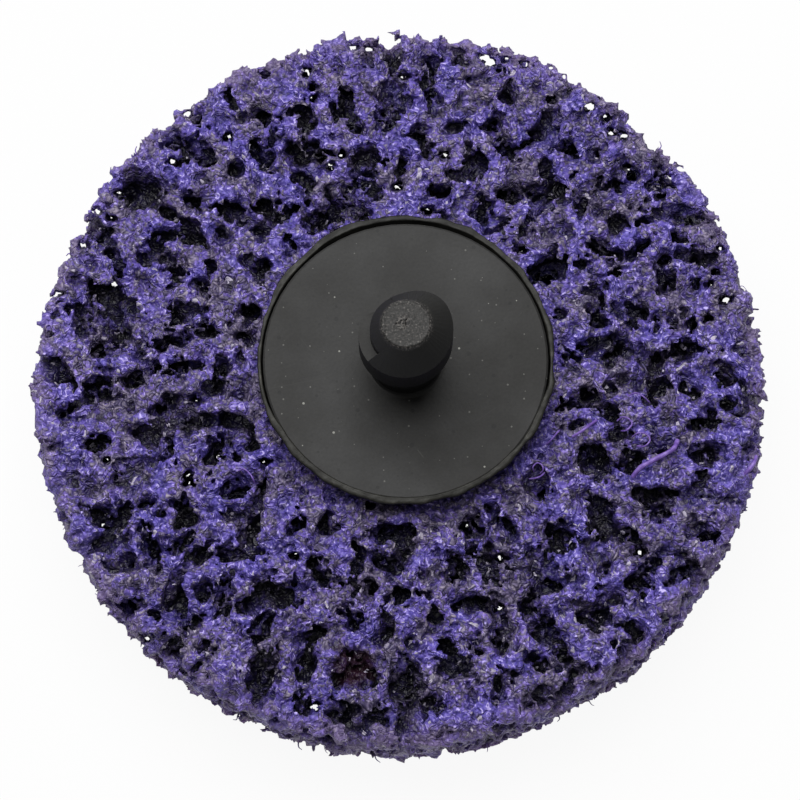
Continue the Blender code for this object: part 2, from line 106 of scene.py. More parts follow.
# Smaller pits by their place in the photograph: pixel across and down, width and height in pixels
SMALL_PITS = (
    (200, 133, 10, 14), (255, 145, 10, 12), (225, 208, 30, 8), (265, 208, 14, 8), (90, 237, 16, 10),
    (460, 55, 16, 20), (600, 185, 10, 16), (575, 175, 12, 12), (538, 133, 12, 12), (532, 212, 8, 12),
    (552, 255, 10, 10), (588, 267, 10, 12), (558, 312, 8, 14), (572, 358, 16, 12), (612, 388, 12, 12),
    (560, 405, 8, 16), (575, 425, 14, 12), (600, 510, 26, 10), (700, 490, 12, 10), (722, 375, 10, 10),
    (742, 410, 10, 12), (655, 320, 12, 16), (118, 478, 10, 8), (87, 397, 8, 8), (175, 285, 12, 12),
    (245, 338, 16, 14), (190, 425, 20, 14), (232, 512, 14, 8), (205, 645, 16, 14), (225, 553, 20, 10),
    (197, 670, 10, 16), (110, 550, 14, 12), (335, 527, 10, 10), (300, 585, 24, 8), (296, 605, 12, 10),
    (427, 597, 12, 12), (408, 643, 10, 12), (472, 550, 10, 14), (475, 640, 14, 10), (485, 508, 12, 10),
    (532, 663, 12, 12), (512, 675, 10, 12), (497, 695, 12, 10), (305, 708, 20, 14), (427, 710, 14, 12),
    (345, 710, 24, 20), (606, 567, 8, 8), (545, 700, 30, 22), (655, 515, 12, 12), (500, 615, 9, 40),
    (490, 560, 9, 40), (88, 308, 12, 50), (111, 315, 20, 70), (360, 668, 30, 40), (390, 100, 22, 56),
)
SMALL_PIT_DEPTH = 2.4
PIT_WARP = 0.3
PIT_WARP_WAVE = 1.9
PIT_WIDENING = (0.80, 0.82)
SMALL_PIT_SIZE = 0.66

# Pinholes of daylight through the web: pixel across and down
DAYLIGHT = (
    (228, 137), (173, 162), (111, 218), (110, 230), (97, 211), (85, 246), (118, 194), (59, 294), (115, 284),
    (106, 460), (197, 400), (188, 475), (188, 483), (104, 525), (218, 457), (265, 462), (135, 566),
    (148, 638), (295, 556), (307, 73), (313, 87), (313, 98), (343, 155), (331, 167), (370, 50),
    (404, 77), (398, 187), (427, 211), (444, 155), (484, 58), (490, 63), (506, 60), (525, 65),
    (521, 249), (552, 100), (590, 107), (605, 118), (612, 133), (625, 137), (626, 169), (660, 196),
    (710, 207), (720, 250), (715, 272), (710, 285), (725, 300), (708, 318), (716, 534), (642, 552),
    (500, 558), (500, 608), (453, 580), (469, 525), (349, 654), (369, 506), (315, 707),
)
PINHOLE_WIDTH = 0.55
PINHOLE_MOUTH = 1.5
PINHOLE_MOUTH_DEPTH = 2.0

# Pores, folds, lumps, strands and grain of the web: wavelengths, levels and heights in mm
PORE_WAVE = 4.1
FINE_PORE_WAVE = 1.7
PORE_LEVEL = 0.47
PORE_SLOPE = 0.8
RADIAL_STRETCH = 1.6
FOLD_WAVE = 4.2
FOLD_DEPTH = 0.36
LUMP_WAVE = 2.6
LUMP_HEIGHT = 0.22
STRAND_WAVE = 3.4
STRAND_SCALE = 0.62
STRAND_RADIUS = 0.13
STRAND_DEPTH = 1.4
GRAIN_WAVE = 1.05
GRAIN_HEIGHT = 0.12
DUST_WAVE = 0.62
DUST_HEIGHT = 0.12
GRAIN_TILE = 160
CROWDING_REACH = 0.75
SHRINK = 0.12
BASE_LIFT = 0.35
BASE_LIFT_LEVELS = (0.5, 2.5)

# Ring round the plate in which the web grows from plain to rough, and how far down it stays plain
PLAIN_RING = (0.6, 2.5)
PLAIN_DEPTH = (1.5, 4.0)

# Loose fibres by their place in the photograph: width in pixels, then pixel across and down along each.
# Past RIM_STARTS from the middle they lie lower by RIM_FALL, where the web's shoulder rounds off.
FIBRES = (
    (5.0, (678, 440), (674, 448), (667, 453), (650, 462), (640, 468), (632, 478)),
    (3.2, (572, 437), (579, 433), (586, 428), (597, 420)),
    (4.6, (757, 454), (754, 463), (748, 471), (740, 478)),
    (1.6, (238, 471), (244, 469), (250, 474), (253, 479), (255, 484)),
    (1.5, (534, 472), (533, 467), (537, 463), (542, 465), (543, 470), (540, 474)),
    (1.7, (529, 479), (536, 478), (541, 476), (545, 472)),
    (2.0, (546, 445), (552, 439), (556, 434), (560, 430)),
    (1.8, (617, 421), (623, 417), (629, 419), (632, 424), (627, 430), (621, 431)),
    (1.6, (628, 396), (636, 393), (644, 397), (650, 403)),
    (1.7, (632, 437), (638, 433), (646, 434), (650, 440), (645, 446), (637, 446)),
)
FIBRE_SIDES = 10
HAIR_SIDES = 5
FIBRE_HEIGHT = 0.25
FIBRE_LOWEST = 0.05
RIM_STARTS = 34.5
RIM_FALL = 0.9
RIM_HAIRS = 46
HAIR_LENGTHS = (0.9, 1.4)
HAIR_RADII = (0.05, 0.10)

# Size of the bends in the outline of the web's grain, in metres
GRAIN_BEND = 0.0008

# Stain of the back by its place in the photograph: pixel across and down, reach in mm
STAIN = (352, 664)
STAIN_REACH = 2.7

# Adhesive: steps round its lip, thickness of the film under the plate, gap between lip and plate
LIP_STEPS = 540
FILM_THICKNESS = 0.4
SEAM_GAP = 0.06

# Marks of the plate by their place in the photograph: two ends, width in mm, colour
SCRATCHES = (
    ((438, 320), (450, 322), 0.16, (0.005, 0.005, 0.005)),
    ((262, 386), (335, 371), 0.12, (0.010, 0.010, 0.010)),
    ((262, 390), (330, 377), 0.10, (0.020, 0.020, 0.019)),
    ((417, 449), (424, 458), 0.12, (0.040, 0.040, 0.036)),
    ((300, 338), (312, 352), 0.08, (0.022, 0.022, 0.021)),
    ((470, 425), (500, 405), 0.08, (0.020, 0.020, 0.019)),
)

# Dust of the plate: spots to a metre, largest radius in mm, share of places left clean, colour
PLATE_DUST = (
    (700.0, 0.10, 0.62, (0.12, 0.12, 0.11)),
    (330.0, 0.14, 0.72, (0.30, 0.30, 0.27)),
    (520.0, 0.26, 0.62, (0.005, 0.005, 0.005)),
    (1500.0, 0.13, 0.70, (0.010, 0.010, 0.009)),
)

# Stage, in metres and watts: floor, fill light of the surroundings and one round softbox
FLOOR_REACH = 3.0
FLOOR_GLOW = 0.93
WORLD_LIGHT = 0.16
LAMP_SIZE = 0.9
LAMP_POWER = 8.2
LAMP_PLACE = (-0.10, 0.34, 0.69)

# Moulded tip of the stud
TIP_RADIUS = 2.475
TIP_PROUD = 0.03
TIP_RINGS = 22
TIP_STEPS = 84
TIP_MARK = (-0.30, 0.15)
TIP_MARK_RADIUS = 0.85


def in_mm(corner):
    """A corner of a box in millimetres."""
    return np.array(corner) / MM


WEB_LOW, WEB_HIGH = (in_mm(corner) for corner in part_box("abrasive_web"))
BUTTON_LOW, BUTTON_HIGH = (in_mm(corner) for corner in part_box("drive_button"))
BOND_LOW, BOND_HIGH = (in_mm(corner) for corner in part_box("adhesive_bond"))
WEB_RADIUS = (WEB_HIGH[0] - WEB_LOW[0]) / 2
WEB_OVAL = (WEB_HIGH[1] - WEB_LOW[1]) / (WEB_HIGH[0] - WEB_LOW[0])
WEB_TOP = WEB_HIGH[2]
BUTTON_CENTRE = (BUTTON_LOW + BUTTON_HIGH) / 2
PLATE_RADIUS = (BUTTON_HIGH[0] - BUTTON_LOW[0]) / 2
MOUNTS = {mount["name"]: mount["pos_m"] for mount in frame["record"]["mounts"]}
PLATE_TOP = MOUNTS["pad_seat"][2] / MM
LIP_RADIUS = (BOND_HIGH[0] - BOND_LOW[0]) / 2
PIXEL = CAMERA_DISTANCE / (CAMERA_LENS / SENSOR_WIDTH * PHOTO_PIXELS)


def camera_axes():
    """Camera position and its forward, right and up directions."""
    tilt = math.radians(CAMERA_ELEVATION)
    forward = np.array((0.0, math.cos(tilt), -math.sin(tilt)))
    up = np.array((0.0, math.sin(tilt), math.cos(tilt)))
    right = np.array((1.0, 0.0, 0.0))
    return np.array(CAMERA_TARGET) - forward * CAMERA_DISTANCE, forward, right, up


def photo_ray(px, py):
    """Origin and unit direction of the view ray through a pixel of the photograph."""
    origin, forward, right, up = camera_axes()
    focal = CAMERA_LENS / SENSOR_WIDTH * PHOTO_PIXELS
    half = PHOTO_PIXELS / 2
    ray = forward + right * (px - half) / focal + up * (half - py) / focal
    return origin, ray / np.linalg.norm(ray)


def photo_point(px, py, height):
    """Where the view ray through a pixel meets a level."""
    origin, ray = photo_ray(px, py)
    return origin + ray * (height - origin[2]) / ray[2]


class Field:
    """A box of voxels round the web. Values are distances in mm, negative inside the material."""

    def __init__(self):
        low = WEB_LOW - FIELD_MARGIN
        high = WEB_HIGH + FIELD_MARGIN
        self.first = np.floor(low / VOXEL).astype(int)
        self.shape = tuple(int(n) for n in np.ceil(high / VOXEL).astype(int) - self.first + 1)
        self.axes = [(self.first[i] + np.arange(self.shape[i], dtype=np.float32)) * np.float32(VOXEL)
                     for i in range(3)]
        self.x = self.axes[0][:, None, None]
        self.y = self.axes[1][None, :, None]
        self.z = self.axes[2][None, None, :]
        self.transform = openvdb.createLinearTransform(voxelSize=VOXEL)

    def from_node(self, node):
        """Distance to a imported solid."""
        mesh = frame["nodes"][node].data
        mesh.calc_loop_triangles()
        points = np.empty(len(mesh.vertices) * 3, np.float32)
        mesh.vertices.foreach_get("co", points)
        triangles = np.empty(len(mesh.loop_triangles) * 3, np.int32)
        mesh.loop_triangles.foreach_get("vertices", triangles)
        grid = openvdb.FloatGrid.createLevelSetFromPolygons(
            points.reshape(-1, 3) / np.float32(MM), triangles=triangles.reshape(-1, 3).astype(np.uint32),
            transform=self.transform, halfWidth=BAND_VOXELS)
        values = np.empty(self.shape, np.float32)
        grid.copyToArray(values, ijk=tuple(int(i) for i in self.first))
        return values

    def window(self, low, high):
        """Slices that hold a box."""
        cut = []
        for i in range(3):
            start = int(math.floor(low[i] / VOXEL)) - self.first[i]
            stop = int(math.ceil(high[i] / VOXEL)) - self.first[i] + 1
            cut.append(slice(max(start, 0), min(max(stop, 0), self.shape[i])))
        return tuple(cut)

    def coordinates(self, cut):
        """Voxel coordinates inside a window."""
        return self.x[cut[0]], self.y[:, cut[1]], self.z[:, :, cut[2]]

    def sample(self, values, points):
        """Values at points, read from the nearest voxel."""
        index = np.rint(points / VOXEL).astype(int) - self.first
        for i in range(3):
            np.clip(index[:, i], 0, self.shape[i] - 1, out=index[:, i])
        return values[index[:, 0], index[:, 1], index[:, 2]]


def smooth_step(low, high, value):
    """0 below low, 1 above high."""
    share = np.clip((value - low) / (high - low), 0, 1)
    return share * share * (3 - 2 * share)


def quick_size(count):
    """The next size that the Fourier transform takes quickly."""
    while True:
        rest = count
        for factor in (2, 3, 5):
            while rest % factor == 0:
                rest //= factor
        if rest == 1:
            return count
        count += 1


def frequencies(shape):
    """Wave rates of a block along its three axes, in voxels."""
    return (np.fft.fftfreq(shape[0]).astype(np.float32)[:, None, None],
            np.fft.fftfreq(shape[1]).astype(np.float32)[None, :, None],
            np.fft.rfftfreq(shape[2]).astype(np.float32)[None, None, :])


def band_noise(shape, wavelength, spread, seed, stretch=1.0, heading=0.0):
    """Repeatable noise of about one wavelength in mm, with mean 0 and deviation 1.

    Its waves may be stretched along a heading in the XY plane.
    """
    draw = np.random.default_rng(seed)
    size = [quick_size(count) for count in shape]
    white = draw.standard_normal(size, dtype=np.float32)
    rate_x, rate_y, rate_z = frequencies(size)
    along = (rate_x * math.cos(heading) + rate_y * math.sin(heading)) * stretch
    aside = rate_y * math.cos(heading) - rate_x * math.sin(heading)
    rate = np.sqrt(along ** 2 + aside ** 2 + rate_z ** 2)
    weight = np.exp(-((rate * (wavelength / VOXEL) - 1) / spread) ** 2)
    waves = np.fft.irfftn(np.fft.rfftn(white) * weight, s=size).astype(np.float32)
    waves = waves[:shape[0], :shape[1], :shape[2]]
    return (waves - waves.mean()) / waves.std()


def radial_noise(field, wavelength, spread, seed, stretch):
    """Band noise whose waves are stretched outwards from the web's middle."""
    turn = np.arctan2(field.y, field.x)
    total = 0
    weights = 0
    for number in range(RADIAL_HEADINGS):
        heading = math.pi * number / RADIAL_HEADINGS
        weight = np.cos(turn - heading) ** 6
        waves = band_noise(field.shape, wavelength, spread, seed + number, stretch, heading)
        total = total + weight * waves
        weights = weights + weight ** 2
    return (total / np.sqrt(weights)).astype(np.float32)


def tiled(tile, shape):
    """A periodic block repeated to fill a larger one."""
    times = [-(-shape[i] // tile.shape[i]) for i in range(3)]
    return np.tile(tile, times)[:shape[0], :shape[1], :shape[2]]


def smooth_max(a, b, blend):
    """Larger of two fields, rounded where they cross."""
    share = np.clip(0.5 + 0.5 * (a - b) / blend, 0, 1)
    return b + (a - b) * share + blend * share * (1 - share)


def carve(field, solid, centre, half, axes, warp=None, blend=0.2):
    """Cut one ellipsoid, its half sizes along the three unit axes, out of the field; warp bends it."""
    extent = np.sqrt(sum((half[i] * axes[i]) ** 2 for i in range(3))) + 4 * VOXEL
    cut = field.window(centre - extent, centre + extent)
    x, y, z = field.coordinates(cut)
    if warp is not None:
        x = x + warp[0][cut]
        y = y + warp[1][cut]
    scaled = 0
    for i in range(3):
        along = (x - centre[0]) * axes[i][0] + (y - centre[1]) * axes[i][1] + (z - centre[2]) * axes[i][2]
        scaled = scaled + (along / half[i]) ** 2
    hole = (np.sqrt(scaled) - 1) * min(half)
    solid[cut] = smooth_max(solid[cut], -hole, blend)


def pit_axes(turn, lean_x, lean_y):
    """Long side, short side and depth direction of a pit; its depth leans by two small slopes."""
    depth = np.array((lean_x, lean_y, -1.0))
    depth /= np.linalg.norm(depth)
    long_side = np.array((math.cos(turn), math.sin(turn), 0.0))
    long_side -= depth * (long_side @ depth)
    long_side /= np.linalg.norm(long_side)
    return np.array((long_side, np.cross(depth, long_side), depth))


def carve_pits(field, solid):
    """The pits and pinholes seen in the photograph."""
    draw = random.Random(31)
    warp = [PIT_WARP * band_noise(field.shape, PIT_WARP_WAVE, 0.4, seed) for seed in (41, 42)]
    for x, y, length, width, turn in PITS:
        centre = np.array((x, y, WEB_TOP - 0.1))
        axes = pit_axes(math.radians(turn), draw.uniform(-0.2, 0.2), draw.uniform(0.0, 0.4))
        half = (length * PIT_WIDENING[0], width * PIT_WIDENING[1], PIT_DEPTH)
        carve(field, solid, centre, half, axes, warp)
    for px, py, wide, high in SMALL_PITS:
        centre = photo_point(px, py, WEB_TOP - 0.3)
        axes = pit_axes(draw.uniform(-0.3, 0.3), draw.uniform(-0.2, 0.2), draw.uniform(0.0, 0.4))
        half = (wide * PIXEL * SMALL_PIT_SIZE, high * PIXEL * SMALL_PIT_SIZE, SMALL_PIT_DEPTH)
        carve(field, solid, centre, half, axes, warp)
    for px, py in DAYLIGHT:
        _, ray = photo_ray(px, py)
        top = photo_point(px, py, WEB_TOP)
        bottom = photo_point(px, py, 0.0)
        side = np.cross(ray, (0.0, 1.0, 0.0))
        side /= np.linalg.norm(side)
        axes = np.array((side, np.cross(ray, side), ray))
        width = PINHOLE_WIDTH * draw.uniform(0.8, 1.25)
        length = np.linalg.norm(bottom - top)
        half = (width * 1.1, width * 0.8, length * 1.6)
        carve(field, solid, (top + bottom) / 2, half, axes, blend=0.1)
        carve(field, solid, top, (PINHOLE_MOUTH * 0.5, PINHOLE_MOUTH * 0.42, PINHOLE_MOUTH_DEPTH), axes)


def widest(heights, reach):
    """Largest value within a square reach, in voxels."""
    for axis in (0, 1):
        best = heights.copy()
        for step in range(1, reach + 1):
            np.maximum(best, np.roll(heights, step, axis), out=best)
            np.maximum(best, np.roll(heights, -step, axis), out=best)
        heights = best
    return heights


def blur(heights, reach):
    """Gaussian blur of a map, reach in voxels."""
    rate_x = np.fft.fftfreq(heights.shape[0])[:, None]
    rate_y = np.fft.rfftfreq(heights.shape[1])[None, :]
    weight = np.exp(-2 * (math.pi * reach) ** 2 * (rate_x ** 2 + rate_y ** 2))
    return np.fft.irfftn(np.fft.rfftn(heights) * weight, s=heights.shape).astype(np.float32)


def crowding(solid, reach):
    """Share of solid round each place, within a reach in mm: 0.5 on a plain face, more in a pit."""
    shape = solid.shape
    size = [quick_size(count) for count in shape]
    block = np.zeros(size, np.float32)
    block[:shape[0], :shape[1], :shape[2]] = solid < 0
    rate_x, rate_y, rate_z = frequencies(size)
    weight = np.exp(-2 * (math.pi * reach / VOXEL) ** 2 * (rate_x ** 2 + rate_y ** 2 + rate_z ** 2))
    blurred = np.fft.irfftn(np.fft.rfftn(block) * weight, s=size).astype(np.float32)
    return blurred[:shape[0], :shape[1], :shape[2]]


def depth_below(field, solid, across):
    """How deep each place lies under the web's own worn faces."""
    inside = solid < 0
    count = field.shape[2]
    top = field.axes[2][count - 1 - np.argmax(inside[:, :, ::-1], axis=2)]
    top = np.where(inside.any(axis=2), top, 0).astype(np.float32)
    top = np.where(top > 0, top, WEB_TOP - 1.0)
    top = blur(widest(top, TOP_REACH), TOP_BLUR)
    return np.minimum(np.minimum(top[:, :, None] - field.z, field.z), WEB_RADIUS - across)


def grow_web():
    """The web's distance field, and facts for its material: how deep, crowded and proud each place is."""
    field = Field()
    solid = field.from_node("abrasive_web")
    across = np.sqrt(field.x ** 2 + (field.y / WEB_OVAL) ** 2)
    depth = depth_below(field, solid, across)
    from_button = np.sqrt((field.x - BUTTON_CENTRE[0]) ** 2 + (field.y - BUTTON_CENTRE[1]) ** 2)
    rough = smooth_step(*PLAIN_RING, from_button - PLATE_RADIUS)
    rough = np.maximum(rough, smooth_step(*PLAIN_DEPTH, WEB_TOP - field.z))

    # Folds and lumps of the web, sunk into its worn faces
    folds = np.abs(radial_noise(field, FOLD_WAVE, 0.5, 51, RADIAL_STRETCH))
    lumps = band_noise(field.shape, LUMP_WAVE, 0.5, 61)
    relief = FOLD_DEPTH * (folds - 0.55) - LUMP_HEIGHT * lumps
    solid += relief * rough + SHRINK
    solid += BASE_LIFT * (1 - smooth_step(*BASE_LIFT_LEVELS, field.z))

    # Pores, in a layer under each face
    pores = radial_noise(field, PORE_WAVE, 0.45, 21, RADIAL_STRETCH)
    pores += 0.25 * band_noise(field.shape, FINE_PORE_WAVE, 0.35, 31)
    pores += 0.4 * (folds - 0.8)
    pores /= pores.std()
    core = smooth_step(CORE_DEPTH_FROM, CORE_DEPTH_TO, depth)
    holes = (PORE_LEVEL - pores) * PORE_SLOPE + 3 * core + 3 * (1 - rough)
    solid = smooth_max(solid, -holes, 0.15)
    carve_pits(field, solid)

    # Strands that cross the pores
    waves = [band_noise(field.shape, STRAND_WAVE, 0.5, seed) for seed in (71, 72)]
    strand = np.hypot(*waves) * STRAND_SCALE
    strand = np.maximum(strand - STRAND_RADIUS, STRAND_DEPTH - depth)
    solid = -smooth_max(-solid, -strand, 0.3)

    # Grain, and nothing below the work face
    tile_shape = (GRAIN_TILE, GRAIN_TILE, field.shape[2])
    grain = tiled(band_noise(tile_shape, GRAIN_WAVE, 0.45, 12), field.shape)
    dust = tiled(band_noise(tile_shape, DUST_WAVE, 0.3, 13), field.shape)
    solid += GRAIN_HEIGHT * grain + DUST_HEIGHT * dust
    np.maximum(solid, -field.z, out=solid)
    facts = {"deep": depth, "crowded": crowding(solid, CROWDING_REACH), "proud": -grain - dust}
    return field, solid, facts


def mesh_arrays(field, solid):
    """Skin of the field as points and quads."""
    grid = openvdb.FloatGrid(1.0)
    grid.transform = field.transform
    grid.copyFromArray(np.clip(solid, -1, 1), ijk=tuple(int(i) for i in field.first))
    return grid.convertToQuads(0.0)


def largest_skin(count, quads):
    """The quads of the largest connected skin, without crumbs and closed bubbles."""
    label = np.arange(count)
    pairs = np.concatenate([quads[:, (0, 1)], quads[:, (1, 2)], quads[:, (2, 3)]])
    while True:
        low = np.minimum(label[pairs[:, 0]], label[pairs[:, 1]])
        before = label.copy()
        np.minimum.at(label, label[pairs[:, 0]], low)
        np.minimum.at(label, label[pairs[:, 1]], low)
        label = label[label]
        if (label == before).all():
            break
    own = label[quads[:, 0]]
    return quads[own == np.bincount(own).argmax()]


def fill_mesh(mesh, points, faces):
    """Write points, and faces with equal numbers of corners, to an empty mesh."""
    mesh.vertices.add(len(points))
    mesh.vertices.foreach_set("co", np.ascontiguousarray(points, np.float32).ravel())
    mesh.loops.add(faces.size)
    mesh.loops.foreach_set("vertex_index", faces.astype(np.int32).ravel())
    mesh.polygons.add(len(faces))
    mesh.polygons.foreach_set("loop_start", np.arange(0, faces.size, faces.shape[1], dtype=np.int32))
    mesh.update(calc_edges=True)


def thinned(points, quads):
    """The skin with WEB_TRIANGLES triangles, fewest where it bends least."""
    used, index = np.unique(quads, return_inverse=True)
    mesh = bpy.data.meshes.new("web_skin")
    fill_mesh(mesh, points[used], index.reshape(-1, 4))
    holder = bpy.data.objects.new("web_skin", mesh)
    bpy.context.scene.collection.objects.link(holder)
    thinner = holder.modifiers.new("thinner", "DECIMATE")
    thinner.ratio = WEB_TRIANGLES / (2 * len(quads))
    skin = bpy.data.meshes.new_from_object(holder.evaluated_get(bpy.context.evaluated_depsgraph_get()))
    skin.calc_loop_triangles()
    places = np.empty(len(skin.vertices) * 3, np.float32)
    skin.vertices.foreach_get("co", places)
    triangles = np.empty(len(skin.loop_triangles) * 3, np.int32)
    skin.loop_triangles.foreach_get("vertices", triangles)
    bpy.data.objects.remove(holder)
    bpy.data.meshes.remove(mesh)
    bpy.data.meshes.remove(skin)
    return places.reshape(-1, 3), triangles.reshape(-1, 3)


def build_web():
    """Mesh the web and split it into sectors."""
    field, solid, facts = grow_web()
    points, quads = mesh_arrays(field, solid)
    points, triangles = thinned(points, largest_skin(len(points), quads))
    centre = points[triangles].mean(axis=1)
    turn = (np.arctan2(centre[:, 1], centre[:, 0]) + math.pi) / math.tau
    sector = (turn * SECTORS).astype(int) % SECTORS
    material = web_material()
    for number in range(SECTORS):
        own = triangles[sector == number]
        used, index = np.unique(own, return_inverse=True)
        mesh = bpy.data.meshes.new(f"web_sector_{number + 1}")
        fill_mesh(mesh, points[used] * MM, index.reshape(-1, 3)[:, ::-1])
        for name, values in facts.items():
            attribute = mesh.attributes.new(name, "FLOAT", "POINT")
            attribute.data.foreach_set("value", field.sample(values, points[used]).astype(np.float32))
        mesh.materials.append(material)
        piece = bpy.data.objects.new(mesh.name, mesh)
        bpy.context.scene.collection.objects.link(piece)
        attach(piece, "root")
        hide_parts("abrasive_web")


class Nodes:
    """Small helper that writes a material's node tree."""

    def __init__(self, name):
        self.material = bpy.data.materials.new(name)
        self.material.use_nodes = True
        self.tree = self.material.node_tree
        self.shader = self.tree.nodes["Principled BSDF"]

    def add(self, kind, values=None, **settings):
        """A node with some of its inputs set or linked."""
        node = self.tree.nodes.new(kind)
        for key, value in settings.items():
            setattr(node, key, value)
        for key, value in (values or {}).items():
            if isinstance(value, bpy.types.NodeSocket):
                self.tree.links.new(value, node.inputs[key])
            else:
                node.inputs[key].default_value = value
        return node

    def link(self, output, socket):
        self.tree.links.new(output, socket)

    def ramp(self, factor, stops):
        """Colour from a factor; stops are places and colours."""
        node = self.add("ShaderNodeValToRGB", {"Fac": factor})
        elements = node.color_ramp.elements
        while len(elements) < len(stops):
            elements.new(0.5)
        for element, (position, colour) in zip(elements, stops):
            element.position = position
            element.color = (*colour, 1.0)
        return node.outputs["Color"]

    def place(self):
        """Place on the piece, in metres."""
        return self.add("ShaderNodeTexCoord").outputs["Object"]

    def noise(self, vector, scale, detail, output="Fac"):
        """Noise, its scale in waves to a metre."""
        values = {"Vector": vector, "Scale": scale, "Detail": detail}
        return self.add("ShaderNodeTexNoise", values).outputs[output]

    def vector(self, operation, a, b=None, c=None, output="Vector"):
        """One operation on vectors."""
        values = {index: value for index, value in enumerate((a, b, c)) if value is not None}
        return self.add("ShaderNodeVectorMath", values, operation=operation).outputs[output]

    def part_of(self, vector, axis="Z"):
        """One of a vector's three numbers."""
        return self.add("ShaderNodeSeparateXYZ", {"Vector": vector}).outputs[axis]

    def math(self, operation, a, b=None, c=None):
        """One operation on numbers."""
        values = {index: value for index, value in enumerate((a, b, c)) if value is not None}
        return self.add("ShaderNodeMath", values, operation=operation).outputs[0]

    def range(self, value, start, end, low=0.0, high=1.0):
        """Map start..end to low..high; start may be above end."""
        flip = start > end
        values = {"Value": value, "From Min": min(start, end), "From Max": max(start, end),
                  "To Min": high if flip else low, "To Max": low if flip else high}
        return self.add("ShaderNodeMapRange", values).outputs[0]

    def facing_up(self, start, end):
        """0 where the surface's own normal is steep, 1 where it points up."""
        normal = self.add("ShaderNodeNewGeometry").outputs["Normal"]
        return self.range(self.part_of(normal), start, end)

    def line(self, place, start, end, width):
        """1 along a straight line in the XY plane, given in mm."""
        start, end = (Vector((*point[:2], 0.0)) * MM for point in (start, end))
        length = (end - start).length
        ahead = (end - start) / length
        middle = (start + end) / 2
        offset = self.vector("SUBTRACT", place, middle)
        reach = []
        for direction in (ahead, Vector((-ahead.y, ahead.x, 0.0))):
            share = self.vector("DOT_PRODUCT", offset, direction, output="Value")
            reach.append(self.math("ABSOLUTE", share))
        along = self.range(reach[0], length / 2, length * 0.35)
        across = self.range(reach[1], width * MM * 0.6, width * MM * 0.3)
        return self.math("MULTIPLY", along, across)

    def bump(self, height, distance):
        """Bend the shading by a height; distance is what a height of 1 stands for, in metres."""
        node = self.add("ShaderNodeBump", {"Height": height, "Strength": 1.0, "Distance": distance})
        self.link(node.outputs["Normal"], self.shader.inputs["Normal"])

    def mix(self, factor, a, b, blend="MIX"):
        """Blend colour b over colour a."""
        node = self.add("ShaderNodeMix", data_type="RGBA", blend_type=blend)
        for index, value in ((0, factor), (6, a), (7, b)):
            if isinstance(value, bpy.types.NodeSocket):
                self.link(value, node.inputs[index])
            else:
                node.inputs[index].default_value = value if index == 0 else (*value, 1.0)
        return node.outputs[2]


